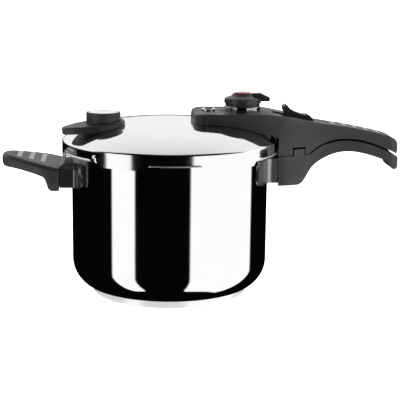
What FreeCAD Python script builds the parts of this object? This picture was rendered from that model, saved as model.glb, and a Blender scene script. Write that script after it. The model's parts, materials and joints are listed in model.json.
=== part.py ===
import FreeCAD, Part
import math
import os

# Stovetop pressure cooker with a bayonet lid.  Millimetres.  Origin on the pot's axis at the
# bottom of the base, +Z up, +X along the two long handles.

V = FreeCAD.Vector
ORIGIN = V(0, 0, 0)
UP = V(0, 0, 1)

# ---- pot ----
POT_R = 111.0               # outside radius of the drawn pot
WALL = 1.0                  # sheet thickness of pot and lid skirt
CORNER_R = 33.0             # outside radius where the wall meets the bottom
BASE_R = 88.0               # encapsulated base
BASE_H = 5.0
BASE_SKIN = 0.8
FLANGE_Z = 171.3            # top of the pot's rolled rim
FLANGE_T = 1.2
FLANGE_R = 113.6            # rim between the lugs
POT_LUG_R = 119.5
POT_LUG_Z = 160.1           # lower edge of the turned-down lugs
POT_LUG_HALF = 13.5         # degrees
LUGS = 6

# ---- lid ----
SKIRT_R = 121.6
RIM_Z = 177.3
RIM_R = 118.4               # where the dome meets the rounded rim
DOME_H = 17.5
DOME_POW = 4.0
LID_T = 1.1
LUG_Z = 158.0               # bottom of the skirt at the lugs
GAP_Z = 162.4               # bottom of the skirt between them
LID_LUG_HALF = 16.0
LID_LIP_HALF = 13.0
LIP_R = 114.6
LIP_T = 1.2
HEM = 0.7                   # how far the cut edge of the skirt is flared

# ---- handles ----
HANDLE_X = 123.5            # inner face of the helper handle
FACE_R = 124.6              # the long handles are hollowed to this radius round the lid
SPLIT_Z = 159.6             # parting height between the two handles at the pot
SPLIT_GAP = 0.8
TONGUE_IN = 141.0           # radii of the locking tongue
TONGUE_OUT = 152.4
TONGUE_TOP = 166.4
NOTCH_TOP = 168.7
LOCK_X = 146.6              # lock pin axis
LOCK_R = 3.0
LOCK_FIT = 0.05

# ---- valves on the lid ----
DIAL_X = 82.0
DIAL_R = 20.8
DECK_Z = 206.4              # flat top of the lid handle above the lid
IND_X = 43.5                # pressure indicator
GRIP_AZ = math.radians(198.0)
GRIP_DIST = 78.8
GRIP_R = 24.0
KNOB_R = 19.0
KNOB_TOP = 208.2

os.makedirs("parts", exist_ok=True)


def save(name, shape):
    """Write one sub-part."""
    if not shape.isValid():
        shape.fix(0.01, 0.01, 0.01)
    print(name, "solids", len(shape.Solids), "volume %.0f" % shape.Volume, "valid", shape.isValid())
    shape.exportStep("parts/" + name + ".step")


def outline(segments, lift):
    """A closed face from 2-D segments: two points make a line, more make a smooth curve."""
    edges = []
    for seg in segments:
        pts = [lift(p) for p in seg]
        if len(pts) == 2:
            edges.append(Part.makeLine(pts[0], pts[1]))
        else:
            curve = Part.BSplineCurve()
            curve.interpolate(pts)
            edges.append(curve.toShape())
    return Part.Face(Part.Wire(Part.__sortEdges__(edges)))


def chain(*parts):
    """Join point lists into segments: each list starts where the one before it ended."""
    segs = []
    last = None
    for pts in parts:
        if last is not None and pts[0] != last:
            segs.append([last, pts[0]])
        if len(pts) > 1:
            segs.append(list(pts))
        last = pts[-1]
    if last != parts[0][0]:
        segs.append([last, parts[0][0]])
    return segs


def polygon(points):
    pts = list(points)
    return [[pts[i], pts[(i + 1) % len(pts)]] for i in range(len(pts))]


def side(segments, half):
    """Extrude an x-z outline to both sides of y = 0."""
    face = outline(segments, lambda p: V(p[0], -half, p[1]))
    return face.extrude(V(0, 2 * half, 0))


def plan(segments, low, high):
    """Extrude an x-y outline from one height to another."""
    face = outline(segments, lambda p: V(p[0], p[1], low))
    return face.extrude(V(0, 0, high - low))


def turned(segments):
    """Revolve an r-z outline about the pot's axis."""
    face = outline(segments, lambda p: V(p[0], 0, p[1]))
    return face.revolve(ORIGIN, UP, 360)


def ring(r_in, r_out, low, high, x=0.0, y=0.0):
    outer = Part.makeCylinder(r_out, high - low, V(x, y, low))
    if r_in <= 0:
        return outer
    return outer.cut(Part.makeCylinder(r_in, high - low + 2, V(x, y, low - 1)))


def sector(r_in, r_out, low, high, mid, half):
    """Part of a ring, centred on an azimuth in degrees."""
    wedge = Part.makeCylinder(r_out, high - low, V(0, 0, low), UP, 2 * half)
    wedge.rotate(ORIGIN, UP, mid - half)
    if r_in <= 0:
        return wedge
    return wedge.cut(Part.makeCylinder(r_in, high - low + 2, V(0, 0, low - 1)))


def box(x0, x1, y0, y1, z0, z1):
    return Part.makeBox(x1 - x0, y1 - y0, z1 - z0, V(x0, y0, z0))


def round_edges(shape, radius, pick):
    """Fillet the edges that pick() accepts; a smaller radius is tried if one is too large."""
    edges = [e for e in shape.Edges if pick(e)]
    for scale in (1.0, 0.7, 0.45, 0.25):
        try:
            out = shape.makeFillet(radius * scale, edges)
        except Exception:
            continue
        if out.isValid() and out.Volume > 0.5 * shape.Volume:
            return out
    print("  no fillet", radius, len(edges))
    return shape


def hexagon(across, low, high, x, y):
    r = across / math.sqrt(3)
    pts = [(x + r * math.cos(math.radians(60 * i)), y + r * math.sin(math.radians(60 * i)))
           for i in range(6)]
    return plan(polygon(pts), low, high)


def coil(radius, wire, low, high, turns, x, y):
    """A round-wire compression spring standing on +Z."""
    pitch = (high - low - 2 * wire) / turns
    helix = Part.makeHelix(pitch, pitch * turns, radius)
    start = Part.Wire(Part.makeCircle(wire, V(radius, 0, 0), V(0, 1, pitch / (2 * math.pi * radius))))
    solid = Part.Wire(helix.Edges).makePipeShell([start], True, True)
    solid.translate(V(x, y, low + wire))
    return solid


# ------------------------------------------------------------------ the lid's dome
def dome_z(r):
    return RIM_Z + DOME_H * (1 - (abs(r) / RIM_R) ** DOME_POW)


def dome_slope(r):
    return DOME_H * DOME_POW * r ** (DOME_POW - 1) / RIM_R ** DOME_POW


def dome_curve(offset, r_end, count=14):
    """Points of the dome's profile moved along its own normal."""
    pts = []
    for i in range(count + 1):
        r = r_end * i / count
        s = dome_slope(r)
        k = offset / math.sqrt(1 + s * s)
        pts.append((r + s * k, dome_z(r) + k))
    return pts


def dome_solid(offset, floor=150.0, r_end=RIM_R):
    """Everything below the dome's surface, moved out by the offset."""
    pts = dome_curve(offset, r_end)
    segs = chain([(0.0, floor), pts[0]], pts, [(pts[-1][0], floor)])
    return turned(segs)


def dome_skin(low, high, r_end=RIM_R):
    """A shell that follows the dome between two offsets."""
    inner = dome_curve(low, r_end)
    outer = dome_curve(high, r_end)
    return turned(chain(outer, list(reversed(inner))))


# ------------------------------------------------------------------ pot
def make_pot():
    z0 = BASE_H + 0.2
    flat = POT_R - CORNER_R
    c = math.sqrt(0.5)

    def corner(r, z):
        """Three points of the quarter circle from the bottom to the wall."""
        return [(flat, z), (flat + r * c, z0 + CORNER_R - r * c), (flat + r, z0 + CORNER_R)]

    def arc(pts):
        return Part.Arc(*[V(p[0], 0, p[1]) for p in pts]).toShape()

    def line(a, b):
        return Part.makeLine(V(a[0], 0, a[1]), V(b[0], 0, b[1]))

    out = corner(CORNER_R, z0)
    inn = corner(CORNER_R - WALL, z0 + WALL)
    top = FLANGE_Z
    low = FLANGE_Z - FLANGE_T
    edges = [line((0, z0), out[0]), arc(out), line(out[2], (POT_R, low)),
             line((POT_R, low), (FLANGE_R, low)), line((FLANGE_R, low), (FLANGE_R, top)),
             line((FLANGE_R, top), (POT_R - WALL, top)), line((POT_R - WALL, top), inn[2]),
             arc(list(reversed(inn))), line(inn[0], (0, z0 + WALL)), line((0, z0 + WALL), (0, z0))]
    pot = Part.Face(Part.Wire(Part.__sortEdges__(edges))).revolve(ORIGIN, UP, 360)
    lugs = []
    for i in range(LUGS):
        mid = 360.0 / LUGS * i
        web = sector(FLANGE_R - 0.5, POT_LUG_R, low, top, mid, POT_LUG_HALF)
        drop = sector(POT_LUG_R - FLANGE_T, POT_LUG_R, POT_LUG_Z, top, mid, POT_LUG_HALF)
        lugs += [web, drop]
    pot = pot.fuse(lugs).removeSplitter()
    return pot


def pot_outside():
    """The space the pot fills, used to trim the base core."""
    z0 = BASE_H + 0.2
    flat = POT_R - CORNER_R
    c = math.sqrt(0.5)
    arc = Part.Arc(V(flat, 0, z0), V(flat + CORNER_R * c, 0, z0 + CORNER_R * (1 - c)),
                   V(POT_R, 0, z0 + CORNER_R)).toShape()
    pts = [V(POT_R, 0, z0 + CORNER_R), V(POT_R, 0, 90), V(0, 0, 90), V(0, 0, z0), V(flat, 0, z0)]
    edges = [arc] + [Part.makeLine(pts[i], pts[i + 1]) for i in range(4)]
    return Part.Face(Part.Wire(Part.__sortEdges__(edges))).revolve(ORIGIN, UP, 360)


pot_body = make_pot()
save("pot_body", pot_body)

space = pot_outside()
core = Part.makeCylinder(BASE_R - BASE_SKIN, 12, V(0, 0, BASE_SKIN)).cut(space)
core = core.common(Part.makeCylinder(BASE_R, 8.2, V(0, 0, 0)))
save("base_core", core)

cap = Part.makeCylinder(BASE_R, 8.2)
cap = round_edges(cap, 1.6, lambda e: e.BoundBox.ZMax < 0.1)
cap = cap.cut(Part.makeCylinder(BASE_R - BASE_SKIN, 12, V(0, 0, BASE_SKIN))).cut(space)
save("base_cap", cap)


# ------------------------------------------------------------------ brackets on the pot
def bracket(half, bend, wing_y, z0, z1, end_r, end_x, hole_ys, hole_z):
    """Box-section steel bracket on the pot's wall, pressed out towards +X with wide bends."""
    sheet = BRACKET_T
    skin = POT_R + 0.1
    out_r = skin + sheet
    cy = half + bend
    cx = math.sqrt((out_r + bend) ** 2 - cy ** 2)
    on_wall = (cx * out_r / (out_r + bend), cy * out_r / (out_r + bend))
    turn = math.atan2(-bend, 0)
    mid = (math.atan2(on_wall[1] - cy, on_wall[0] - cx) + turn) / 2
    half_way = (cx + bend * math.cos(mid), cy + bend * math.sin(mid))
    reach = math.asin(wing_y / out_r)
    tip = (out_r * math.cos(reach), wing_y)
    back = (skin * math.cos(reach), skin * math.sin(reach))
    between = (math.atan2(on_wall[1], on_wall[0]) + reach) / 2
    x_side = min(math.sqrt(end_r ** 2 - half ** 2), end_x)

    def at(point, sign=1):
        return V(point[0], sign * point[1], z0)

    edges = []
    for sign in (1, -1):
        edges.append(Part.makeLine(at(back, sign), at(tip, sign)))
        middle = (out_r * math.cos(between), out_r * math.sin(between))
        edges.append(Part.Arc(at(tip, sign), at(middle, sign), at(on_wall, sign)).toShape())
        edges.append(Part.Arc(at(on_wall, sign), at(half_way, sign), at((cx, half), sign)).toShape())
        edges.append(Part.makeLine(at((cx, half), sign), at((x_side, half), sign)))
    if end_x < end_r:
        edges.append(Part.makeLine(at((x_side, half)), at((x_side, half), -1)))
    else:
        edges.append(Part.Arc(at((x_side, half)), V(end_r, 0, z0), at((x_side, half), -1)).toShape())
    edges.append(Part.Arc(at(back), V(skin, 0, z0), at(back, -1)).toShape())
    out = Part.Face(Part.Wire(Part.__sortEdges__(edges))).extrude(V(0, 0, z1 - z0))
    shape = box(60, 140, -wing_y, wing_y, z0, z1)
    shape = round_edges(shape, 9.0, lambda e: e.BoundBox.XLength > 20)
    out = out.common(shape)
    hollow = box(90, 140, -half + sheet, half - sheet, z0 + sheet, z1 - sheet)
    hollow = hollow.common(Part.makeCylinder(min(end_r, 400) - sheet, 300))
    if end_x < end_r:
        hollow = hollow.common(box(80, end_x - sheet, -80, 80, 0, 300))
    out = out.cut(hollow)
    for y in hole_ys:
        out = out.cut(Part.makeCylinder(2.6, 20, V(115, y, hole_z), V(1, 0, 0)))
    return sorted(out.Solids, key=lambda s: s.Volume)[-1]


BRACKET_T = 1.5
save("long_handle_bracket", bracket(34.5, 7.0, 62.0, 129.3, 156.6, FACE_R - 0.2, 200.0, (0.0,), 142.0))

helper_bracket = bracket(36.0, 4.5, 50.0, 124.8, 145.6, 400.0, HANDLE_X - 0.2, (-20.0, 20.0), 136.0)
helper_bracket.rotate(ORIGIN, UP, 180)
save("helper_bracket", helper_bracket)


# ------------------------------------------------------------------ long handle on the pot
GAP_CURVE = [(158.5, 163.0), (163.5, 166.6), (170.0, 170.6), (179.0, 174.0), (189.0, 176.1),
             (203.0, 176.7), (218.0, 174.7), (237.0, 168.6), (252.0, 162.0), (259.2, 158.2)]
HANDLE_GAP = 2.5
FACE_IN = 116.0


def gap_low():
    """Top edge of the pot's handle below the lid's handle."""
    return [(x, z - HANDLE_GAP) for x, z in GAP_CURVE]


def long_handle_body():
    top = SPLIT_Z - SPLIT_GAP / 2
    under = [(143.2, 126.0), (148.4, 129.0), (153.4, 136.0), (159.4, 145.0), (171.7, 154.0),
             (185.8, 160.0), (204.2, 162.0), (227.5, 157.6), (243.4, 152.2), (250.2, 149.6)]
    tip = [(250.2, 149.6), (251.4, 143.6), (255.2, 141.2), (259.6, 142.2), (261.2, 146.6)]
    back = list(reversed(gap_low()))
    segs = chain([(FACE_IN, 126.0), (143.2, 126.0)], under, tip,
                 [(261.2, 146.6), (260.8, 154.2)], back,
                 [(154.0, top), (FACE_IN, top)])
    body = side(segs, 60)
    half = [(FACE_IN, 35.4), (132.0, 33.6), (145.0, 28.4), (160.0, 22.0), (180.0, 18.6),
            (205.0, 17.6), (235.0, 18.4), (252.0, 18.2)]
    end = [(252.0, 18.2), (259.5, 13.5), (262.0, 0.0), (259.5, -13.5), (252.0, -18.2)]
    mirror = [(x, -y) for x, y in reversed(half)]
    body = body.common(plan(chain(half, end, mirror), 100, 200))
    tongue = sector(TONGUE_IN, TONGUE_OUT, top - 4, TONGUE_TOP, 0, 16.0)
    tongue = tongue.common(plan(chain(half, end, mirror), 100, 200))
    crest = [(x, z + 1.4) for x, z in gap_low()[3:9]]
    foot = [(x, z - 4.0) for x, z in reversed(crest)]
    rib = side(chain(crest, [crest[-1], foot[0]], foot, [foot[-1], crest[0]]), 6.0)
    body = body.fuse([tongue, rib]).removeSplitter()
    return body.cut(Part.makeCylinder(FACE_R, 200))


def long_pick(e):
    """The long lower edges of the grip."""
    b = e.BoundBox
    return b.ZMax < 163.5 and b.XMin > 142 and b.XLength > 60 and abs(b.YMax + b.YMin) > 20


long_handle = long_handle_body()
long_handle = round_edges(long_handle, 3.0, long_pick)
# lock hole and screw channel
long_handle = long_handle.cut(Part.makeCylinder(LOCK_R + 2.2, 9, V(LOCK_X, 0, TONGUE_TOP - 8)))
long_handle = long_handle.cut(Part.makeCylinder(2.7, 30, V(HANDLE_X - 1, 0, 142), V(1, 0, 0)))
long_handle = long_handle.cut(Part.makeCylinder(5.2, 60, V(HANDLE_X + 12, 0, 142), V(1, 0, 0)))
save("long_handle", long_handle)


def screw(length, shank, head_r, head_h, pos, axis):
    """Round-head screw: its head starts at pos and the shank runs along the axis."""
    a = V(*axis)
    p = V(*pos)
    head = Part.makeCylinder(head_r, head_h, p, a)
    slot = Part.makeBox(head_r * 2 + 2, 1.0, 1.2, V(-head_r - 1, -0.5, -0.01))
    slot.Placement = FreeCAD.Placement(p, FreeCAD.Rotation(UP, a))
    rod = Part.makeCylinder(shank, length, p + a * head_h, a)
    return head.fuse(rod).cut(slot).removeSplitter()


save("long_handle_screw", screw(15.5, 2.4, 4.6, 3.0, (HANDLE_X + 15.1, 0, 142), (-1, 0, 0)))
save("lock_keeper", ring(LOCK_R + 0.4, LOCK_R + 2.1, TONGUE_TOP - 7.9, TONGUE_TOP - 0.1, LOCK_X, 0))


# ------------------------------------------------------------------ helper handle, built on +X
def helper_handle_body():
    top = [(124.2, 147.8), (139.0, 151.2), (156.0, 154.6), (172.0, 157.6), (184.0, 159.4)]
    tip = [(184.0, 159.4), (187.6, 157.4), (188.2, 152.0), (187.2, 148.2), (183.4, 146.2)]
    under = [(183.4, 146.2), (172.0, 145.2), (160.0, 143.2), (148.0, 140.4), (141.2, 138.0)]
    root = [(141.2, 138.0), (138.6, 134.0), (136.8, 128.0), (135.0, 124.4)]
    segs = chain(top, tip, under, root, [(132.4, 123.0), (124.2, 123.0)])
    body = side(segs, 70)
    edge = [(124.2, 45.0), (137.0, 43.6), (152.0, 38.0), (166.0, 30.0), (178.0, 22.4)]
    end = [(178.0, 22.4), (186.0, 13.0), (188.6, 0.0), (186.0, -13.0), (178.0, -22.4)]
    mirror = [(x, -y) for x, y in reversed(edge)]
    body = body.common(plan(chain(edge, end, mirror), 100, 200))
    hood = box(90, 128, -35.5, 35.5, 145.8, 151.4)
    hood = round_edges(hood, 4.5, lambda e: e.BoundBox.ZMin > 151 and e.BoundBox.XLength > 20)
    hood = hood.common(side(polygon([(90, 140), (124.4, 140), (132, 149.4), (124.4, 147.8), (119.0, 151.4),
                                     (90, 151.4)]), 60))
    hood = hood.cut(Part.makeCylinder(POT_R + 0.4, 300))
    return body.fuse(sorted(hood.Solids, key=lambda s: s.Volume)[-1]).removeSplitter()


def helper_pick(e):
    b = e.BoundBox
    return b.XLength > 20 and b.ZMax > 150 and b.XMax > 140 and b.XMin < 150


helper = helper_handle_body()
helper = round_edges(helper, 4.5, helper_pick)
PAD_X = [(140.0, 145.2), (153.0, 158.2), (166.2, 171.2)]
PAD_Y = [(-35.0, 21.0), (-30.5, 17.5), (-23.5, 14.5)]
PAD_T = 1.2


def helper_top(x):
    return 147.8 + (x - 124.2) * 0.1985


def pad(i, grow):
    """One inlaid strip, following the sloping top of the helper handle."""
    x0, x1 = PAD_X[i]
    x0 -= grow
    x1 += grow
    y0 = PAD_Y[i][0] - grow
    y1 = PAD_Y[i][1] + grow
    lift = 0.25 if grow == 0 else 6.0
    segs = polygon([(x0, helper_top(x0) - PAD_T - grow), (x1, helper_top(x1) - PAD_T - grow),
                    (x1, helper_top(x1) + lift), (x0, helper_top(x0) + lift)])
    return side(segs, 60).common(box(100, 200, y0, y1, 100, 200))


pads = [pad(i, 0.0) for i in range(3)]
for i in range(3):
    helper = helper.cut(pad(i, 0.05))
for y in (-20.0, 20.0):
    helper = helper.cut(Part.makeCylinder(2.0, 9.0, V(124, y, 136), V(1, 0, 0)))
helper.rotate(ORIGIN, UP, 180)
save("helper_handle", helper)
pads = Part.makeCompound(pads)
pads.rotate(ORIGIN, UP, 180)
save("helper_handle_pads", pads)
screws = []
for y in (-20.0, 20.0):
    s = screw(9.5, 1.9, 4.0, 2.2, (HANDLE_X - 0.2 - 1.5 - 2.3, y, 136), (1, 0, 0))
    s.rotate(ORIGIN, UP, 180)
    screws.append(s)
save("helper_handle_screws", Part.makeCompound(screws))


# ------------------------------------------------------------------ lid shell
def make_lid():
    outer = dome_curve(0.0, RIM_R)
    inner = dome_curve(-LID_T, RIM_R - 0.6)
    r_in = SKIRT_R - WALL
    bend_out = [outer[-1], (120.6, 175.7), (SKIRT_R, 172.8)]
    bend_in = [(r_in, 172.8), (119.7, 175.0), inner[-1]]
    segs = chain(outer, bend_out, [(SKIRT_R, 172.8), (SKIRT_R, GAP_Z)],
                 [(SKIRT_R, GAP_Z), (r_in, GAP_Z)], [(r_in, GAP_Z), (r_in, 172.8)],
                 bend_in, list(reversed(inner)))
    lid = turned(segs)
    extra = []
    for i in range(LUGS):
        mid = 360.0 / LUGS * i
        wall = sector(r_in, SKIRT_R, LUG_Z, GAP_Z + 0.5, mid, LID_LUG_HALF)
        wall = round_edges(wall, 3.4, lambda e: e.BoundBox.ZMax < LUG_Z + 0.01
                           and abs(e.BoundBox.DiagonalLength - WALL) < 0.3)
        lip = sector(LIP_R, SKIRT_R - 0.2, LUG_Z, LUG_Z + LIP_T, mid, LID_LIP_HALF)
        extra += [wall, lip]
    hem = turned(polygon([(SKIRT_R - 0.3, GAP_Z), (SKIRT_R + HEM, GAP_Z), (SKIRT_R + HEM, GAP_Z + 0.35),
                          (SKIRT_R - 0.3, GAP_Z + 1.5)]))
    for i in range(LUGS):
        hem = hem.cut(sector(100, 140, 150, 180, 360.0 / LUGS * i, LID_LUG_HALF + 1.2))
    extra.append(hem)
    lid = lid.fuse(extra).removeSplitter()
    return lid


GRIP_C = (GRIP_DIST * math.cos(GRIP_AZ), GRIP_DIST * math.sin(GRIP_AZ))
HANDLE_SCREWS = [(58.0, 14.0), (58.0, -14.0), (104.0, 18.0), (104.0, -18.0)]
lid = make_lid()
holes = [Part.makeCylinder(6.3, 60, V(DIAL_X, 0, 150)), Part.makeCylinder(4.4, 60, V(IND_X, 0, 150)),
         Part.makeCylinder(6.3, 60, V(GRIP_C[0], GRIP_C[1], 150))]
holes += [Part.makeCylinder(2.3, 60, V(x, y, 150)) for x, y in HANDLE_SCREWS]
RIVET_AZ = 226.3
RIVET_Z = 165.6
ra = math.radians(RIVET_AZ)
rdir = V(math.cos(ra), math.sin(ra), 0)
holes.append(Part.makeCylinder(2.0, 10, rdir * 115 + V(0, 0, RIVET_Z), rdir))
for h in holes:
    lid = lid.cut(h)
save("lid_shell", lid)

dome = Part.makeSphere(7.0, V(0, 0, -5.2)).common(box(-6, 6, -6, 6, 0, 5))
dome = dome.common(Part.makeCylinder(4.5, 5))
rivet = dome.fuse(Part.makeCylinder(1.95, 1.4, V(0, 0, -1.35))).removeSplitter()
rivet.Placement = FreeCAD.Placement(rdir * (SKIRT_R + 0.05) + V(0, 0, RIVET_Z),
                                    FreeCAD.Rotation(UP, rdir))
save("skirt_rivet", rivet)

gasket = turned(polygon([(107.6, 171.7), (119.9, 171.7), (119.9, 173.4), (117.4, 175.6),
                         (114.6, 175.6), (114.6, 174.0), (107.6, 172.9)]))
save("gasket", gasket)


# ------------------------------------------------------------------ lid handle
TOP_LINE = [(27.0, 205.2), (34.0, 206.2), (44.0, 206.4), (100.0, 206.4), (110.0, 205.9),
            (122.0, 203.9), (145.0, 199.3), (162.0, 195.6), (180.0, 192.9), (205.0, 189.0),
            (230.0, 183.9), (247.0, 179.8), (255.0, 176.2), (259.6, 170.5)]
DECK_SLOPE = (203.9 - 195.6) / 40.0


def lid_handle_body():
    """Outer form of the lid's handle: side outline and plan outline crossed."""
    front = [(25.6, 203.0), (24.4, 198.0), (25.6, 190.0)]
    drop = SPLIT_Z + SPLIT_GAP / 2
    curve = list(reversed(GAP_CURVE))
    segs = chain(front, [(30.0, 188.0), (105.0, 184.6)],
                 [(105.0, 184.6), (110.5, 183.2), (FACE_IN, 181.4)],
                 [(FACE_IN, 181.4), (FACE_IN, drop)],
                 [(FACE_IN, drop), (153.6, drop)],
                 [(153.6, drop), GAP_CURVE[0]], GAP_CURVE,
                 [GAP_CURVE[-1], (260.2, 162.0)], [(260.2, 162.0), (260.4, 166.0), TOP_LINE[-1]],
                 list(reversed(TOP_LINE)), [TOP_LINE[0], (25.6, 203.0)])
    body = side(segs, 60)
    edge = [(40.5, 36.4), (60.0, 37.0), (85.0, 37.2), (105.0, 36.8), (120.0, 35.4), (134.0, 32.6),
            (152.0, 25.6), (168.0, 21.2), (190.0, 18.8), (220.0, 18.2), (248.0, 18.2)]
    end = [(248.0, 18.2), (256.5, 15.0), (260.6, 8.0), (261.0, 0.0), (260.6, -8.0), (256.5, -15.0),
           (248.0, -18.2)]
    mirror = [(x, -y) for x, y in reversed(edge)]
    nose = [(40.5, -36.4), (31.0, -34.0), (26.4, -27.0), (24.6, -16.0), (24.0, 0.0), (24.6, 16.0),
            (26.4, 27.0), (31.0, 34.0), (40.5, 36.4)]
    segs = chain(edge, end, mirror, nose)
    body = body.common(plan(segs, 120, 230))
    return body


def top_pick(e):
    b = e.BoundBox
    return b.ZMin > 168 and b.XLength > 100 and abs(b.YMin + b.YMax) > 20 and b.ZMax > 204


handle = lid_handle_body()
handle = round_edges(handle, 6.0, top_pick)

# the underside follows the dome and clears the skirt
STAND = 0.4                 # gap between the lid and what stands on it
handle = handle.cut(dome_solid(STAND))
handle = handle.cut(Part.makeCylinder(FACE_R, 40.4, V(0, 0, 140)))

# annular notch over the pot handle's tongue, so the lid can turn
notch = ring(TONGUE_IN - 1.4, TONGUE_OUT + 1.2, 150, NOTCH_TOP)
handle = handle.cut(notch)


def inner_plan(inset, x0, x1, low, high):
    """The handle's plan outline, moved in, between two stations."""
    edge = [(40.5, 36.4), (60.0, 37.0), (85.0, 37.2), (105.0, 36.8), (120.0, 35.4), (134.0, 32.6)]
    pts = [(x, y - inset) for x, y in edge if x0 < x < x1]
    first = (x0, pts[0][1] - 3.0)
    last = (x1, pts[-1][1] - 0.8)
    up = [first] + pts + [last]
    down = [(x, -y) for x, y in reversed(up)]
    return plan(polygon(up + down), low, high)


# hollow over the lid, open below, closed by the cover
MARK_R = 2.0
MARK_X = DIAL_X - 24.0
POCKET = (36.3, 111.7)
COVER = (37.3, 110.7)
COVER_T = 2.2
pocket = inner_plan(3.4, POCKET[0], POCKET[1], 150, 202.6)
ceiling = side(polygon([(20, 150), (130, 150), (130, 197.0), (106, 202.6), (20, 202.6)]), 60)
pocket = pocket.common(ceiling)
posts = [ring(0, 5.0, 150, 203, x, y) for x, y in HANDLE_SCREWS]
posts += [ring(0, 17.5, 150, 203, DIAL_X, 0), ring(0, 9.5, 150, 203, IND_X, 0)]
for post in posts:
    pocket = pocket.cut(post)
handle = handle.cut(pocket)
for x, y in HANDLE_SCREWS:
    handle = handle.cut(ring(0, 1.75, 150, 202, x, y))
handle = handle.cut(ring(0, 13.2, 150, 230, DIAL_X, 0))
handle = handle.cut(ring(0, DIAL_R, DECK_Z - 0.3, 230, DIAL_X, 0))
handle = handle.cut(ring(0, MARK_R + 0.2, DECK_Z - 0.3, 230, MARK_X, 0))
handle = handle.cut(ring(0, 2.95, 150, 230, IND_X, 0))
handle = handle.cut(ring(0, 6.6, 150, dome_z(IND_X) + 2.4, IND_X, 0))
handle = handle.cut(ring(0, 8.1, DECK_Z - 1.6, 230, IND_X, 0))

# track of the locking slider, along the sloping deck
TRACK_X = (108.0, 163.4)
TRACK_HALF = 9.0
TRACK_DEEP = 4.2


def deck(x):
    return 203.9 - (x - 122.0) * DECK_SLOPE


def track_bar(x0, x1, half, low, high):
    """A bar lying along the deck: low and high are measured from the deck line."""
    segs = polygon([(x0, deck(x0) + low), (x1, deck(x1) + low), (x1, deck(x1) + high),
                    (x0, deck(x0) + high)])
    return side(segs, half)


handle = handle.cut(track_bar(TRACK_X[0] + 8, TRACK_X[1], TRACK_HALF, -TRACK_DEEP, 8))
handle = handle.cut(track_bar(TRACK_X[0] + 8, TRACK_X[1], TRACK_HALF + 1.6, -TRACK_DEEP,
                              -TRACK_DEEP + 1.6))
# bore of the lock pin
handle = handle.cut(ring(0, LOCK_R + LOCK_FIT, 150, 200, LOCK_X, 0))

# light strips across the grip
STRIPE_X = [185.0, 198.4, 210.6, 223.4, 236.4]
STRIPE_W = 4.6
STRIPE_T = 1.3


def top_z(x):
    """Height of the handle's top line."""
    for (x0, z0), (x1, z1) in zip(TOP_LINE, TOP_LINE[1:]):
        if x0 <= x <= x1:
            return z0 + (z1 - z0) * (x - x0) / (x1 - x0)
    return TOP_LINE[-1][1]


def stripe(x, grow, lift):
    x0 = x - STRIPE_W / 2 - grow
    x1 = x + STRIPE_W / 2 + grow
    segs = polygon([(x0, top_z(x0) - STRIPE_T - grow), (x1, top_z(x1) - STRIPE_T - grow),
                    (x1, top_z(x1) + lift), (x0, top_z(x0) + lift)])
    return side(segs, 12.0 + grow)


for x in STRIPE_X:
    handle = handle.cut(stripe(x, 0.05, 6.0))
handle_parts = sorted(handle.Solids, key=lambda s: s.Volume)
print("handle pieces", [round(s.Volume) for s in handle_parts])
handle = handle_parts[-1]
save("lid_handle", handle)
save("lid_handle_stripes", Part.makeCompound([stripe(x, 0.0, 0.5) for x in STRIPE_X]))

cover = dome_skin(STAND, STAND + COVER_T, 116.0).common(inner_plan(3.6, COVER[0], COVER[1], 150, 210))
for post in posts:
    bb = post.BoundBox
    r = bb.XLength / 2 + 0.2
    cover = cover.cut(ring(0, r, 150, 210, (bb.XMin + bb.XMax) / 2, (bb.YMin + bb.YMax) / 2))
cover = sorted(cover.Solids, key=lambda s: s.Volume)[-1]
save("lid_handle_cover", cover)

fixings = []
for x, y in HANDLE_SCREWS:
    r = math.hypot(x, y)
    s = dome_slope(r)
    base = dome_z(r) - LID_T * math.sqrt(1 + s * s) - 3.6 * s - 2.5
    fixings.append(screw(9.0, 1.7, 3.6, 2.2, (x, y, base), (0, 0, 1)))
save("lid_handle_screws", Part.makeCompound(fixings))


# ------------------------------------------------------------------ locking slider and its pin
def make_slider():
    low = -TRACK_DEEP + 0.35
    base = track_bar(130.8, 162.9, TRACK_HALF - 0.35, low, 0.2)
    foot = track_bar(130.8, 162.9, TRACK_HALF + 1.25, low, low + 0.9)
    hump = [(131.0, deck(131.0) - 0.5), (130.6, 213.6), (131.8, 213.8)]
    back = [(131.8, 213.8), (134.6, 210.4), (139.6, 206.6), (146.0, 204.0), (152.0, 202.6)]
    bump = [(152.0, 202.6), (156.5, 202.4), (160.4, 199.6), (162.4, deck(162.4) - 0.5)]
    thumb = side(chain(hump, back, bump), TRACK_HALF - 0.6)
    out = base.fuse([foot, thumb])
    for i in range(4):
        x = 151.6 + 2.6 * i
        groove = Part.makeCylinder(0.7, 30, V(x, -15, 203.3 - 0.9 * i), V(0, 1, 0))
        out = out.cut(groove)
    return out.removeSplitter()


slider = make_slider()
slider = round_edges(slider, 1.0, lambda e: e.BoundBox.ZMax > 208 and e.BoundBox.YLength < 0.1
                     and e.BoundBox.XLength > 10)
save("lock_slider", slider)
PIN_LOW = NOTCH_TOP + 0.4
pin_top = deck(LOCK_X) - TRACK_DEEP - 1.4
pin = ring(0, LOCK_R, PIN_LOW, pin_top, LOCK_X, 0)
pin = round_edges(pin, 0.8, lambda e: e.BoundBox.ZMax < PIN_LOW + 0.1)
save("lock_pin", pin)


# ------------------------------------------------------------------ pressure dial and relief valve
COLLAR_TOP = 212.4
DIAL_LOW = 212.8
DIAL_TOP = 226.0
VALVE_SEAT = 217.0
dial_collar = ring(13.6, DIAL_R - 0.4, DECK_Z - 0.25, COLLAR_TOP, DIAL_X, 0)
dial_collar = round_edges(dial_collar, 1.2, lambda e: e.BoundBox.ZMin > COLLAR_TOP - 0.1
                          and e.BoundBox.XLength > 40)
save("dial_collar", dial_collar)


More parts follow.
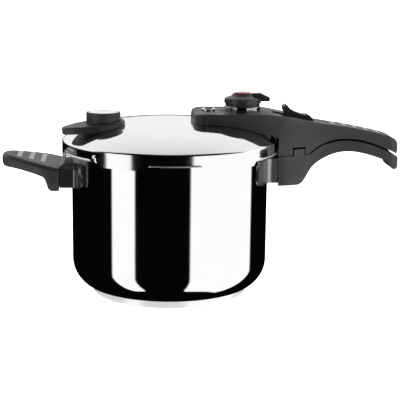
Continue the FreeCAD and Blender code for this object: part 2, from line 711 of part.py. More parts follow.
def lathe(points, x, y):
    """Revolve an r-z polygon about a vertical axis."""
    face = outline(polygon(points), lambda p: V(p[0], 0, p[1]))
    out = face.revolve(ORIGIN, UP, 360)
    out.translate(V(x, y, 0))
    return out


def seat_cut(shape, offset):
    """Trim a piece that stands on the dome."""
    return shape.cut(dome_solid(offset, 140.0))


valve_z = dome_z(DIAL_X)
body = lathe([(2.2, 170.0), (5.9, 170.0), (5.9, VALVE_SEAT - 2.0), (4.2, VALVE_SEAT), (2.2, VALVE_SEAT)],
             DIAL_X, 0)
flange = seat_cut(ring(5.0, 11.0, 180, valve_z + 5.5, DIAL_X, 0), 1.6)
body = body.fuse(flange).removeSplitter()
save("valve_body", body)
seal = dome_skin(0.05, 1.55, 116.0).common(ring(6.0, 10.4, 170, 210, DIAL_X, 0))
save("valve_seal", seal)
INSIDE = dome_solid(-LID_T - 0.05, 140.0, 116.0)
nut = hexagon(19.0, valve_z - LID_T - 9.5, valve_z, DIAL_X, 0).cut(ring(0, 5.95, 150, 210, DIAL_X, 0))
nut = nut.common(INSIDE)
save("valve_nut", nut)
cap_top = 178.4
debris = lathe([(5.95, cap_top), (5.95, cap_top - 0.8), (11.2, cap_top - 0.8), (11.2, 167.4), (0, 167.4),
                (0, 166.6), (12.0, 166.6), (12.0, cap_top)], DIAL_X, 0)
for i in range(8):
    a = math.radians(45 * i)
    slot = Part.makeCylinder(1.3, 6, V(DIAL_X + 9 * math.cos(a), 9 * math.sin(a), 172.4),
                             V(math.cos(a), math.sin(a), 0))
    debris = debris.cut(slot)
save("debris_cap", debris)
poppet = lathe([(0, VALVE_SEAT - 4.0), (1.2, VALVE_SEAT - 4.0), (1.2, VALVE_SEAT + 0.3),
                (4.0, VALVE_SEAT + 0.3), (4.0, VALVE_SEAT + 1.6), (1.6, VALVE_SEAT + 1.6),
                (1.6, VALVE_SEAT + 2.6), (0, VALVE_SEAT + 2.6)], DIAL_X, 0)
save("relief_poppet", poppet)
SPRING_LOW = VALVE_SEAT + 1.7
SPRING_TOP = 223.6
save("relief_spring", coil(2.9, 0.4, SPRING_LOW, SPRING_TOP, 3.0, DIAL_X, 0))

dial = lathe([(7.0, DIAL_LOW), (19.4, DIAL_LOW), (19.4, 214.4), (18.9, 214.6), (18.9, 215.0),
              (DIAL_R, 215.3), (DIAL_R, 220.2), (19.4, 221.4), (13.4, 223.4), (11.6, 225.2), (11.2, 226.0),
              (9.6, 226.0), (9.6, 224.2), (7.0, 224.2)], DIAL_X, 0)
tab = [(11.0, 222.0), (11.0, 226.2), (20.0, 226.6), (30.4, 221.6), (30.4, 217.4), (19.0, 217.4)]
tab = side(polygon([(DIAL_X + x, z) for x, z in tab]), 6.2)
tab = round_edges(tab, 1.2, lambda e: e.BoundBox.XLength > 8 and e.BoundBox.ZMax > 220)
dial = dial.fuse(tab.cut(ring(0, 11.0, 200, 240, DIAL_X, 0))).removeSplitter()
save("pressure_dial", dial)
disc = lathe([(0, 224.3), (9.5, 224.3), (9.5, 226.6), (8.6, 227.4), (0, 227.9)], DIAL_X, 0)
save("dial_disc", disc)

# ------------------------------------------------------------------ pressure indicator
save("indicator_ring", round_edges(ring(5.0, 8.0, DECK_Z - 1.5, DECK_Z + 2.6, IND_X, 0), 0.8,
                                   lambda e: e.BoundBox.ZMin > DECK_Z + 2.5))
ind_z = dome_z(IND_X)
seal = ring(2.7, 6.2, 180, 215, IND_X, 0).common(dome_skin(0.05, 1.3, 116.0))
neck = ring(2.7, 4.3, 180, 215, IND_X, 0).common(dome_skin(-LID_T - 1.0, 0.6, 116.0))
lip = ring(2.7, 6.2, 180, 215, IND_X, 0).common(dome_skin(-LID_T - 1.4, -LID_T - 0.05, 116.0))
save("indicator_seal", seal.fuse([neck, lip]).removeSplitter())
pin = lathe([(0, ind_z - 12.0), (5.2, ind_z - 12.0), (5.2, ind_z - 10.4), (2.64, ind_z - 10.4),
             (2.64, DECK_Z - 1.3), (4.6, DECK_Z - 1.3), (4.6, DECK_Z + 3.0), (3.8, DECK_Z + 3.8),
             (0, DECK_Z + 4.2)], IND_X, 0)
save("pressure_indicator", pin)
save("dial_mark", ring(0, MARK_R, DECK_Z - 0.28, DECK_Z + 1.0, MARK_X, 0))

# ------------------------------------------------------------------ lid grip with the safety valve
gz = dome_z(GRIP_DIST)
GRIP_TILT = 5.7             # degrees; the grip leans less than the dome does
GRIP_T = 6.0
GRIP_LOW = -1.5


def on_dome(shape):
    """Move a piece built about its own origin onto the dome, leaning with it."""
    out = shape.copy()
    out.rotate(ORIGIN, V(0, 1, 0), GRIP_TILT)
    out.rotate(ORIGIN, UP, math.degrees(GRIP_AZ))
    out.translate(V(GRIP_C[0], GRIP_C[1], gz))
    return out


wing = [(0.0, GRIP_R), (12.0, 23.4), (24.0, 20.0), (36.0, 14.0), (43.0, 8.6)]
tip = [(43.0, 8.6), (46.2, 4.6), (46.8, 0.0), (46.2, -4.6), (43.0, -8.6)]
wing_plan = chain(wing, tip, [(x, -y) for x, y in reversed(wing)], [(0.0, -GRIP_R), (0.0, GRIP_R)])
base = plan(wing_plan, GRIP_LOW, GRIP_T)
base = base.fuse(Part.makeCylinder(GRIP_R, GRIP_T + 9.0, V(0, 0, -9.0))).removeSplitter()
base = round_edges(base, 2.2, lambda e: e.BoundBox.ZMin > GRIP_T - 0.1)
base = on_dome(base)
base = base.cut(dome_solid(STAND))
KNOB_LOW = gz + 3.0
knob_seat = Part.makeCylinder(KNOB_R + 0.3, 30, V(GRIP_C[0], GRIP_C[1], KNOB_LOW))
base = base.cut(knob_seat).cut(ring(0, 11.8, 150, 230, GRIP_C[0], GRIP_C[1]))
base = sorted(base.Solids, key=lambda s: s.Volume)[-1]
save("lid_grip_base", base)
knob = lathe([(11.9, KNOB_LOW + 0.05), (KNOB_R, KNOB_LOW + 0.05), (KNOB_R, KNOB_TOP - 1.0),
              (KNOB_R - 1.0, KNOB_TOP), (16.9, KNOB_TOP), (16.9, KNOB_TOP - 1.6), (11.9, KNOB_TOP - 1.6)],
             GRIP_C[0], GRIP_C[1])
save("lid_grip_knob", knob)
disc = lathe([(0, KNOB_TOP - 1.5), (16.8, KNOB_TOP - 1.5), (16.8, KNOB_TOP - 0.2), (15.6, KNOB_TOP + 0.3),
              (0, KNOB_TOP + 0.9)], GRIP_C[0], GRIP_C[1])
save("lid_grip_disc", disc)
gx, gy = GRIP_C
seat = gz + 7.0
sbody = lathe([(2.4, gz - 13.0), (5.9, gz - 13.0), (5.9, seat - 1.5), (4.6, seat), (2.4, seat)], gx, gy)
sbody = sbody.fuse(seat_cut(ring(5.0, 9.6, gz - 12, gz + 4.6, gx, gy), 1.6)).removeSplitter()
save("safety_valve_body", sbody)
save("safety_valve_seal", dome_skin(0.05, 1.55, 116.0).common(ring(6.0, 9.2, 170, 210, gx, gy)))
nut = hexagon(17.0, gz - LID_T - 8.0, gz, gx, gy).cut(ring(0, 5.95, 150, 210, gx, gy)).common(INSIDE)
save("safety_valve_nut", nut)
poppet = lathe([(0, seat - 4.0), (1.3, seat - 4.0), (1.3, seat + 0.3), (4.2, seat + 0.3),
                (4.2, seat + 1.5), (1.7, seat + 1.5), (1.7, seat + 2.4), (0, seat + 2.4)], gx, gy)
save("safety_poppet", poppet)
save("safety_spring", coil(3.1, 0.4, seat + 1.6, KNOB_TOP - 1.6, 3.0, gx, gy))
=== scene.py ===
import json
import math

import bmesh
import bpy
from mathutils import Matrix, Quaternion, Vector


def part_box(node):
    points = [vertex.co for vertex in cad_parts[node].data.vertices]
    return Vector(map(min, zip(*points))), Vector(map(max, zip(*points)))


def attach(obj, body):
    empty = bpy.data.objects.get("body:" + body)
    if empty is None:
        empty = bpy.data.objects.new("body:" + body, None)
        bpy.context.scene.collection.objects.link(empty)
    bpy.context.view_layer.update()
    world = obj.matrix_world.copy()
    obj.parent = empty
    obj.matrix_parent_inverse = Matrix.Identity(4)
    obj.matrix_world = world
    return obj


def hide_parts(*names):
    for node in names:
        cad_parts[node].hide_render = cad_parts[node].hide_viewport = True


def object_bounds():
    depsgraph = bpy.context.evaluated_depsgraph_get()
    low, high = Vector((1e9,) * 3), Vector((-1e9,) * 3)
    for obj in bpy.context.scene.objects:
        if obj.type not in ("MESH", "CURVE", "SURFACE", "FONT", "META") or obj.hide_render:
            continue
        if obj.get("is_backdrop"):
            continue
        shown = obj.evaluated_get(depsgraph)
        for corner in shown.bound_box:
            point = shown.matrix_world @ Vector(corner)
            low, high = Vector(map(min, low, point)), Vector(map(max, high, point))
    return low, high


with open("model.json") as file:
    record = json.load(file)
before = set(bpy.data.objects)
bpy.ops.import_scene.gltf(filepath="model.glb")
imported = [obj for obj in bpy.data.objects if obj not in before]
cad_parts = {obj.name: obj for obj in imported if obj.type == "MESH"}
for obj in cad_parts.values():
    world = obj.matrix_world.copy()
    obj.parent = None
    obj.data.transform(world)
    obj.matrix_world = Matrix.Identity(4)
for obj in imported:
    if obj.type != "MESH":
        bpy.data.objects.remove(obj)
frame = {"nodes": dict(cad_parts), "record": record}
CAD_LOW, CAD_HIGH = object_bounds()
nodes = frame["nodes"]
scene = bpy.context.scene


# ---------------------------------------------------------------- node helpers
class Graph:
    """A small wrapper round a node tree, so that a chain of nodes reads as a sum."""

    def __init__(self, tree):
        self.tree = tree
        tree.nodes.clear()

    def put(self, socket, value):
        if isinstance(value, bpy.types.NodeSocket):
            self.tree.links.new(value, socket)
        elif value is not None:
            socket.default_value = value

    def node(self, kind, settings=None, inputs=None):
        made = self.tree.nodes.new(kind)
        for key, value in (settings or {}).items():
            setattr(made, key, value)
        for key, value in (inputs or {}).items():
            self.put(made.inputs[key], value)
        return made

    def math(self, operation, a, b=None, clamp=False):
        inputs = {0: a} if b is None else {0: a, 1: b}
        return self.node("ShaderNodeMath", {"operation": operation, "use_clamp": clamp}, inputs).outputs[0]

    def ramp(self, value, low, high, out_low=0.0, out_high=1.0, smooth=True):
        kind = "SMOOTHSTEP" if smooth else "LINEAR"
        made = self.node("ShaderNodeMapRange", {"interpolation_type": kind, "clamp": True})
        for slot, number in zip((1, 2, 3, 4), (low, high, out_low, out_high)):
            made.inputs[slot].default_value = number
        self.put(made.inputs[0], value)
        return made.outputs[0]

    def mix(self, share, a, b):
        made = self.node("ShaderNodeMix", {"data_type": "RGBA"})
        self.put(made.inputs[0], share)
        self.put(made.inputs[6], a)
        self.put(made.inputs[7], b)
        return made.outputs[2]

    def vector(self, operation, a, b=None):
        inputs = {0: a} if b is None else {0: a, 1: b}
        return self.node("ShaderNodeVectorMath", {"operation": operation}, inputs)

    def noise(self, where, scale, detail=3.0, rough=0.5, distortion=0.0):
        made = self.node("ShaderNodeTexNoise", None, {"Scale": scale, "Detail": detail, "Roughness": rough,
                                                      "Distortion": distortion, "Vector": where})
        return made.outputs[0]


def grey(value, alpha=1.0):
    return (value, value, value, alpha)


def material(name):
    made = bpy.data.materials.new(name)
    made.use_nodes = True
    g = Graph(made.node_tree)
    shader = g.node("ShaderNodeBsdfPrincipled")
    out = g.node("ShaderNodeOutputMaterial")
    g.tree.links.new(shader.outputs[0], out.inputs[0])
    return made, g, shader


def place(g, stretch=(1, 1, 1)):
    """Object coordinates in metres, stretched."""
    coord = g.node("ShaderNodeTexCoord")
    return g.vector("MULTIPLY", coord.outputs["Object"], stretch).outputs[0]


def bump(g, shader, height, strength, distance):
    made = g.node("ShaderNodeBump", None, {"Height": height, "Strength": strength, "Distance": distance})
    g.tree.links.new(made.outputs[0], shader.inputs["Normal"])


# ------------------------------------------------------------------ materials
def steel(name, colour, rough, rough_spread, lines=(1, 1, 1), line_scale=400.0, depth=0.0, dirt=0.03):
    """Stainless steel. lines stretches the grain, so a small number along an axis draws lines that way."""
    made, g, shader = material(name)
    grain = g.noise(place(g, lines), line_scale, 4.0, 0.6)
    cloud = g.noise(place(g), 18.0, 2.0, 0.5)
    tint = g.mix(g.ramp(cloud, 0.3, 0.7), [c * (1 - dirt) for c in colour[:3]] + [1], colour)
    g.put(shader.inputs["Base Color"], tint)
    shader.inputs["Metallic"].default_value = 1.0
    g.put(shader.inputs["Roughness"], g.ramp(grain, 0.25, 0.75, rough - rough_spread, rough + rough_spread))
    if depth:
        bump(g, shader, grain, 0.35, depth)
    return made


def plastic(name, colour, rough, grain_scale, depth, worn=0.25, cloud_scale=35.0):
    """Moulded plastic: a fine grain, a cloudy colour, and convex edges painted a little lighter as a painted
    highlight.
    """
    made, g, shader = material(name)
    grain = g.noise(place(g), grain_scale, 3.0, 0.55)
    cloud = g.noise(place(g), cloud_scale, 3.0, 0.5)
    light = [min(1.0, c * (1 + worn) + 0.002) for c in colour[:3]] + [1]
    dark = [c * (1 - worn * 0.5) for c in colour[:3]] + [1]
    tint = g.mix(g.ramp(cloud, 0.3, 0.7), dark, light)
    # painted highlight: convex edges, found by pointiness, are painted lighter than the rest of the plastic
    edge_highlight_mask = g.node("ShaderNodeNewGeometry").outputs["Pointiness"]
    tint = g.mix(g.ramp(edge_highlight_mask, 0.505, 0.56, 0.0, 0.5), tint, [min(1.0, c * 1.6 + 0.006) for c in colour[:3]] + [1])
    g.put(shader.inputs["Base Color"], tint)
    g.put(shader.inputs["Roughness"], g.ramp(cloud, 0.3, 0.7, rough - 0.04, rough + 0.04))
    bump(g, shader, grain, 0.5, depth)
    return made


MIRROR = steel("mirror_steel", (0.93, 0.93, 0.93, 1), 0.045, 0.015, (1, 1, 0.02), 900.0, 0.0, 0.02)
# steel(name, colour, roughness, its spread, stretch of the grain, scale of the grain, bump depth)
SATIN = steel("satin_steel", (0.40, 0.40, 0.41, 1), 0.34, 0.05, (1, 1, 0.03), 900.0, 0.000003)
BASE = steel("base_steel", (0.88, 0.88, 0.88, 1), 0.16, 0.04, (0.4, 0.4, 6.0), 500.0, 0.000004)
ALUMINIUM = steel("rolled_aluminium", (0.80, 0.81, 0.82, 1), 0.38, 0.08, (1, 0.05, 1), 900.0, 0.00003)
BRASS = steel("turned_brass", (0.70, 0.50, 0.22, 1), 0.28, 0.06, (1, 1, 8.0), 700.0, 0.00002)
WIRE = steel("spring_wire", (0.62, 0.62, 0.63, 1), 0.24, 0.05, (1, 1, 1), 900.0)
BLACK = plastic("grained_black_plastic", (0.022, 0.021, 0.022, 1), 0.44, 2600.0, 0.00008)
SMOOTH = plastic("smooth_black_plastic", (0.020, 0.020, 0.022, 1), 0.30, 1800.0, 0.00003)
PAD = plastic("soft_grey_strip", (0.56, 0.57, 0.58, 1), 0.48, 2200.0, 0.00008, 0.08)
SILICONE = plastic("white_silicone", (0.72, 0.72, 0.69, 1), 0.42, 900.0, 0.00004, 0.06)


def lid_steel():
    """Bright dome, a less polished skirt, and a plain cut hem at the skirt's lower edge."""
    made, g, shader = material("lid_steel")
    here = place(g)
    axes = g.node("ShaderNodeSeparateXYZ", None, {0: here})
    grain = g.noise(place(g, (1, 1, 0.02)), 900.0, 4.0, 0.6)
    cloud = g.noise(here, 18.0, 2.0, 0.5)
    flat = g.vector("MULTIPLY", here, (1.0, 1.0, 0.0)).outputs[0]
    far = g.vector("LENGTH", flat).outputs["Value"]
    skirt = g.ramp(axes.outputs[2], 0.1735, 0.1755, 1.0, 0.0)
    hem = g.ramp(far, 0.12168, 0.12185)
    rough = g.math("ADD", g.ramp(grain, 0.25, 0.75, 0.05, 0.09), g.math("MULTIPLY", skirt, 0.04))
    g.put(shader.inputs["Roughness"], g.math("ADD", rough, g.math("MULTIPLY", hem, 0.40)))
    tint = g.mix(g.ramp(cloud, 0.3, 0.7), grey(0.91), grey(0.93))
    g.put(shader.inputs["Base Color"], tint)
    shader.inputs["Metallic"].default_value = 1.0
    return made


LID_STEEL = lid_steel()


def red_disc():
    """Red plastic with a pale ring printed on it."""
    made, g, shader = material("red_plastic")
    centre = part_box("dial_disc")
    middle = ((centre[0].x + centre[1].x) / 2, (centre[0].y + centre[1].y) / 2, 0.0)
    flat = g.vector("MULTIPLY", g.vector("SUBTRACT", place(g), middle).outputs[0], (1.0, 1.0, 0.0)).outputs[0]
    far = g.vector("LENGTH", flat).outputs["Value"]
    off = g.math("ABSOLUTE", g.math("SUBTRACT", far, 0.0052))
    mark = g.ramp(off, 0.0004, 0.0008, 0.75, 0.0)
    cloud = g.noise(place(g), 60.0, 2.0, 0.5)
    tint = g.mix(g.ramp(cloud, 0.3, 0.7), (0.50, 0.006, 0.022, 1), (0.62, 0.010, 0.032, 1))
    g.put(shader.inputs["Base Color"], g.mix(mark, tint, (0.85, 0.80, 0.80, 1)))
    g.put(shader.inputs["Roughness"], g.ramp(cloud, 0.3, 0.7, 0.16, 0.24))
    shader.inputs["Coat Weight"].default_value = 0.6
    shader.inputs["Coat Roughness"].default_value = 0.06
    return made


RED = red_disc()

BY_SLOT = {
    "polished_steel": MIRROR,
    "satin_steel": SATIN,
    "raw_aluminium": ALUMINIUM,
    "black_plastic": BLACK,
    "soft_black_plastic": SMOOTH,
    "light_pad": PAD,
    "red_plastic": RED,
    "silicone": SILICONE,
    "brass_part": BRASS,
    "spring_steel": WIRE,
}
BASE.node_tree.nodes["Principled BSDF"].inputs["Metallic"].default_value = 0.25
COLLAR = steel("dark_polished_collar", (0.42, 0.42, 0.43, 1), 0.10, 0.03, (1, 1, 0.02), 900.0)
BY_NODE = {"base_cap": BASE, "dial_collar": COLLAR}

for part in frame["record"]["subparts"]:
    obj = nodes[part["node"]]
    chosen = BY_NODE.get(part["node"], BY_SLOT[part["material_slot"]])
    obj.data.materials.clear()
    obj.data.materials.append(chosen)


# ------------------------------------------------- finer meshes for the two bright steel shells
# Millimetres, the same sizes as in the CAD source. Angles of lugs are half widths in degrees.
MM = 0.001
RIM_R, RIM_Z = 118.4, 177.3
DOME_H, DOME_POW = 17.5, 4.0
LID_T = 1.1


def dome_z(r, drop=0.0):
    return RIM_Z + DOME_H * (1.0 - (r / RIM_R) ** DOME_POW) - drop


POT_R, WALL, CORNER_R, BASE_TOP = 111.0, 1.0, 33.0, 5.2
FLANGE_R, FLANGE_T, FLANGE_Z = 113.6, 1.2, 171.3
POT_LUG_R, POT_LUG_Z, POT_LUG_HALF = 119.5, 160.1, 13.5
SKIRT_R, GAP_Z, LUG_Z, LID_LUG_HALF = 121.6, 162.4, 158.0, 16.0
LIP_R, LIP_T, LIP_HALF, HEM = 114.6, 1.2, 13.0, 0.6
LUGS = 6


class Shell:
    """Collects turned surfaces and curved bars into one mesh."""

    def __init__(self):
        self.verts = []
        self.faces = []

    def turn(self, steps, loop_at, closed=True):
        """loop_at(angle in degrees) gives the r-z loop there, always with the same number of points."""
        first = len(self.verts)
        loops = [loop_at(360.0 * i / steps) for i in range(steps)]
        n = len(loops[0])
        for i, loop in enumerate(loops):
            a = 2 * math.pi * i / steps
            self.verts += [(r * math.cos(a) * MM, r * math.sin(a) * MM, z * MM) for r, z in loop]
        for i in range(steps):
            j = (i + 1) % steps
            for k in range(n if closed else n - 1):
                m = (k + 1) % n
                self.faces.append(tuple(first + v for v in (i * n + k, j * n + k, j * n + m, i * n + m)))

    def bar(self, loop, mid, half, steps=24):
        """A bar with the section loop, bent round the axis from mid - half to mid + half degrees."""
        first = len(self.verts)
        n = len(loop)
        for i in range(steps + 1):
            a = math.radians(mid - half + 2 * half * i / steps)
            self.verts += [(r * math.cos(a) * MM, r * math.sin(a) * MM, z * MM) for r, z in loop]
        for i in range(steps):
            for k in range(n):
                m = (k + 1) % n
                self.faces.append(tuple(first + v for v in (i * n + k, i * n + n + k, i * n + n + m, i * n + m)))
        self.faces.append(tuple(first + k for k in reversed(range(n))))
        self.faces.append(tuple(first + steps * n + k for k in range(n)))

    def make(self, name, sharp_above):
        mesh = bpy.data.meshes.new(name)
        mesh.from_pydata(self.verts, [], self.faces)
        mesh.update()
        tidy = bmesh.new()
        tidy.from_mesh(mesh)
        bmesh.ops.remove_doubles(tidy, verts=tidy.verts, dist=1e-6)
        bmesh.ops.recalc_face_normals(tidy, faces=tidy.faces)
        tidy.to_mesh(mesh)
        tidy.free()
        mesh.polygons.foreach_set("use_smooth", [True] * len(mesh.polygons))
        mesh.set_sharp_from_angle(angle=math.radians(sharp_above))
        obj = bpy.data.objects.new(name, mesh)
        scene.collection.objects.link(obj)
        return obj


def drill(obj, holes, sharp_above):
    """Cut holes through obj. Each hole is (start, direction, length, radius) in millimetres."""
    cutter = bmesh.new()
    for start, direction, length, radius in holes:
        along = Vector(direction).normalized()
        where = Matrix.Translation((Vector(start) + along * length / 2) * MM)
        where = where @ along.to_track_quat("Z", "Y").to_matrix().to_4x4()
        bmesh.ops.create_cone(cutter, cap_ends=True, segments=48, radius1=radius * MM, radius2=radius * MM,
                              depth=length * MM, matrix=where)
    mesh = bpy.data.meshes.new("drill_bits")
    cutter.to_mesh(mesh)
    cutter.free()
    bits = bpy.data.objects.new("drill_bits", mesh)
    scene.collection.objects.link(bits)
    cut = obj.modifiers.new("holes", "BOOLEAN")
    cut.operation = "DIFFERENCE"
    cut.solver = "EXACT"
    cut.object = bits
    bpy.context.view_layer.update()
    drilled = bpy.data.meshes.new_from_object(obj.evaluated_get(bpy.context.evaluated_depsgraph_get()))
    obj.modifiers.remove(cut)
    bpy.data.objects.remove(bits)
    old = obj.data
    obj.data = drilled
    bpy.data.meshes.remove(old)
    drilled.set_sharp_from_angle(angle=math.radians(sharp_above))


def spread(a, b, n):
    return [a + (b - a) * i / n for i in range(n + 1)]


def smooth_step(x, low, high):
    t = min(1.0, max(0.0, (x - low) / (high - low)))
    return t * t * (3 - 2 * t)


def lid_loop(angle):
    """Section of the lid at one angle: dome, rolled shoulder, skirt with its hem, and back up inside."""
    off = abs((angle + 30.0) % 60.0 - 30.0)
    past = math.radians(LID_LUG_HALF - off) * SKIRT_R
    lug = smooth_step(past, -1.6, 3.2)
    low = GAP_Z + (LUG_Z - GAP_Z) * lug
    flare = HEM * (1.0 - smooth_step(past, -4.0, -0.8))
    outer = [(r, dome_z(r)) for r in spread(0.0, RIM_R, 72)]
    p0, p1, p2, p3 = outer[-1], (120.2, 176.24), (SKIRT_R, 175.2), (SKIRT_R, 172.8)
    for t in spread(0.0, 1.0, 12)[1:]:
        w = ((1 - t) ** 3, 3 * t * (1 - t) ** 2, 3 * t * t * (1 - t), t ** 3)
        outer.append(tuple(sum(w[i] * p[axis] for i, p in enumerate((p0, p1, p2, p3))) for axis in (0, 1)))
    skirt = [(SKIRT_R, z) for z in spread(172.8, low + 1.7, 6)[1:]]
    hem = [(SKIRT_R + flare * 0.5, low + 1.3), (SKIRT_R + flare * 0.95, low + 0.8), (SKIRT_R + flare, low + 0.4),
           (SKIRT_R + flare * 0.8, low)]
    inside = [(SKIRT_R - WALL, low), (SKIRT_R - WALL, 172.8), (119.7, 175.0)]
    inner = [(r, dome_z(r, LID_T)) for r in spread(RIM_R - 0.6, 0.0, 30)]
    return outer + skirt + hem + inside + inner


def pot_loop(angle):
    flat = POT_R - CORNER_R
    quarter = [math.radians(a) for a in spread(0.0, 90.0, 32)]
    outer = [(flat + CORNER_R * math.sin(a), BASE_TOP + CORNER_R * (1 - math.cos(a))) for a in quarter]
    inner_r = CORNER_R - WALL
    inner = [(flat + inner_r * math.sin(a), BASE_TOP + WALL + inner_r * (1 - math.cos(a))) for a in quarter]
    low = FLANGE_Z - FLANGE_T
    rim = [(POT_R, low), (FLANGE_R, low), (FLANGE_R, FLANGE_Z - 0.3), (FLANGE_R - 0.3, FLANGE_Z),
           (POT_R - WALL, FLANGE_Z)]
    wall = [(POT_R, z) for z in spread(BASE_TOP + CORNER_R, low, 12)[1:-1]]
    return [(0.0, BASE_TOP)] + outer + wall + rim + list(reversed(inner)) + [(0.0, BASE_TOP + WALL)]


lid = Shell()
lid.turn(1440, lid_loop)
pot = Shell()
pot.turn(360, pot_loop)
for i in range(LUGS):
    lid.bar([(LIP_R, LUG_Z), (SKIRT_R - 0.4, LUG_Z), (SKIRT_R - 0.4, LUG_Z + LIP_T), (LIP_R, LUG_Z + LIP_T)],
            60.0 * i, LIP_HALF)
    low = FLANGE_Z - FLANGE_T
    pot.bar([(FLANGE_R - 0.5, low), (POT_LUG_R - FLANGE_T, low), (POT_LUG_R - FLANGE_T, POT_LUG_Z),
             (POT_LUG_R, POT_LUG_Z), (POT_LUG_R, FLANGE_Z - 0.4), (POT_LUG_R - 0.4, FLANGE_Z),
             (FLANGE_R - 0.5, FLANGE_Z)], 60.0 * i, POT_LUG_HALF)
lid_skin = lid.make("lid_pressing", 40.0)
DIAL_X, IND_X = 82.0, 43.5
GRIP_AZ, GRIP_DIST = math.radians(198.0), 78.8
GRIP_AT = (GRIP_DIST * math.cos(GRIP_AZ), GRIP_DIST * math.sin(GRIP_AZ))
RIVET_AZ, RIVET_Z = math.radians(226.3), 165.6
UP = (0.0, 0.0, 1.0)
HOLES = [((x, y, 165.0), UP, 40.0, radius) for x, y, radius in (
    (DIAL_X, 0.0, 6.3), (IND_X, 0.0, 4.4), (*GRIP_AT, 6.3),
    (58.0, 14.0, 2.3), (58.0, -14.0, 2.3), (104.0, 18.0, 2.3), (104.0, -18.0, 2.3))]
rivet_way = (math.cos(RIVET_AZ), math.sin(RIVET_AZ), 0.0)
HOLES.append(((115.0 * rivet_way[0], 115.0 * rivet_way[1], RIVET_Z), rivet_way, 10.0, 2.0))
drill(lid_skin, HOLES, 40.0)
lid_skin.data.materials.clear()
lid_skin.data.materials.append(LID_STEEL)
pot_skin = pot.make("pot_pressing", 40.0)
pot_skin.data.materials.append(MIRROR)
for piece, body, node in ((lid_skin, "lid", "lid_shell"), (pot_skin, "pot", "pot_body")):
    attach(piece, body)
    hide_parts(node)


# ----------------------------------------------------------------- the studio
def studio_floor():
    half = 14.0
    mesh = bpy.data.meshes.new("studio_floor")
    z = CAD_LOW.z - 0.0004
    mesh.from_pydata([(-half, -half, z), (half, -half, z), (half, half, z), (-half, half, z)], [], [(0, 1, 2, 3)])
    obj = bpy.data.objects.new("studio_floor", mesh)
    scene.collection.objects.link(obj)
    made, g, shader = material("pale_floor")
    cloud = g.noise(place(g), 3.0, 2.0, 0.5)
    g.put(shader.inputs["Base Color"], g.mix(cloud, grey(0.86), grey(0.88)))
    shader.inputs["Roughness"].default_value = 0.9
    shader.inputs["Specular IOR Level"].default_value = 0.0
    shader.inputs["Emission Color"].default_value = (1, 1, 1, 1)
    shader.inputs["Emission Strength"].default_value = 1.6
    mesh.materials.append(made)
    obj.visible_glossy = False
    obj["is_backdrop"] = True


SOFT_BOXES = ((-73.0, -43.4), (21.2, 106.6))    # left and right edges, degrees round from the front
BOX_LOW, BOX_HIGH = -61.0, 20.0                 # degrees above the level
BOX_CORNER, BOX_FEATHER = 8.0, 1.5
BOX_LIGHT, DARK_ROOM = 1.32, 0.002
WALL_LOW, WALL_HIGH = 1.15, 0.82                # the back wall's light at 30 degrees up and overhead


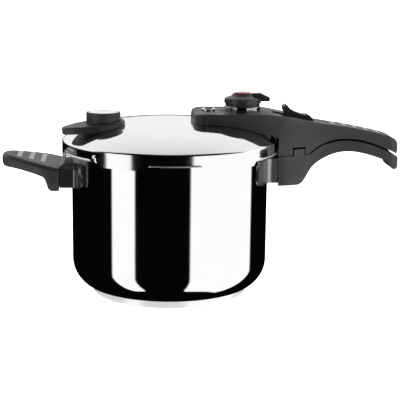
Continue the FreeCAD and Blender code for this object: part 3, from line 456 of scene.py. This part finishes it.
def studio_world():
    """Plain white for the camera. Reflections see a dark room with two tall soft boxes and a bright back wall."""
    world = bpy.data.worlds.new("studio")
    scene.world = world
    world.use_nodes = True
    g = Graph(world.node_tree)
    coord = g.node("ShaderNodeTexCoord")
    axes = g.node("ShaderNodeSeparateXYZ", None, {0: coord.outputs["Generated"]})
    to_degrees = 180.0 / math.pi
    around = g.math("MULTIPLY", g.math("ARCTAN2", axes.outputs[0], g.math("MULTIPLY", axes.outputs[1], -1.0)),
                    to_degrees)
    up = g.math("MULTIPLY", g.math("ARCSINE", axes.outputs[2]), to_degrees)

    def soft_box(left, right):
        centre = ((left + right) / 2, (BOX_LOW + BOX_HIGH) / 2, 0.0)
        half = ((right - left) / 2 - BOX_CORNER, (BOX_HIGH - BOX_LOW) / 2 - BOX_CORNER, 0.0)
        here = g.node("ShaderNodeCombineXYZ", None, {0: around, 1: up}).outputs[0]
        out = g.vector("ABSOLUTE", g.vector("SUBTRACT", here, centre).outputs[0]).outputs[0]
        out = g.vector("MAXIMUM", g.vector("SUBTRACT", out, half).outputs[0], (0.0, 0.0, 0.0)).outputs[0]
        far = g.vector("LENGTH", out).outputs["Value"]
        return g.ramp(far, BOX_CORNER - BOX_FEATHER, BOX_CORNER + BOX_FEATHER, 1.0, 0.0)

    boxes = g.math("ADD", soft_box(*SOFT_BOXES[0]), soft_box(*SOFT_BOXES[1]))
    behind = g.ramp(axes.outputs[1], -0.15, 0.10)
    low_edge = g.ramp(up, -1.0, 5.0)
    fall = g.ramp(up, 30.0, 90.0, WALL_LOW, WALL_HIGH)
    wall = g.math("MULTIPLY", g.math("MULTIPLY", behind, low_edge), fall)
    ceiling = g.ramp(up, 60.0, 88.0, 0.0, WALL_HIGH)
    front = g.math("MULTIPLY", g.math("SUBTRACT", 1.0, behind), ceiling)
    light = g.math("ADD", g.math("ADD", wall, front), g.math("MULTIPLY", boxes, BOX_LIGHT))
    light = g.math("ADD", light, DARK_ROOM)
    room = g.node("ShaderNodeBackground", None, {1: light})
    white = g.node("ShaderNodeBackground", None, {0: (1, 1, 1, 1), 1: 1.0})
    path = g.node("ShaderNodeLightPath")
    both = g.node("ShaderNodeMixShader", None, {0: path.outputs["Is Camera Ray"], 1: room.outputs[0],
                                                2: white.outputs[0]})
    g.node("ShaderNodeOutputWorld", None, {0: both.outputs[0]})


def studio_camera():
    yaw, pitch, roll = (math.radians(v) for v in (4.533, 11.796, 0.635))
    look = Vector((math.sin(yaw) * math.cos(pitch), math.cos(yaw) * math.cos(pitch), -math.sin(pitch)))
    data = bpy.data.cameras.new("studio_camera")
    data.lens = 104.2
    data.sensor_width = 36.0
    data.clip_start = 0.05
    data.clip_end = 60.0
    obj = bpy.data.objects.new("studio_camera", data)
    obj.rotation_mode = "QUATERNION"
    obj.rotation_quaternion = look.to_track_quat("-Z", "Y") @ Quaternion((0, 0, 1), roll)
    obj.location = (-0.0680, -1.2982, 0.3749)
    scene.collection.objects.link(obj)
    scene.camera = obj


studio_floor()
studio_world()
studio_camera()
scene.view_settings.view_transform = "Standard"
scene.view_settings.look = "None"

low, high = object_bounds()
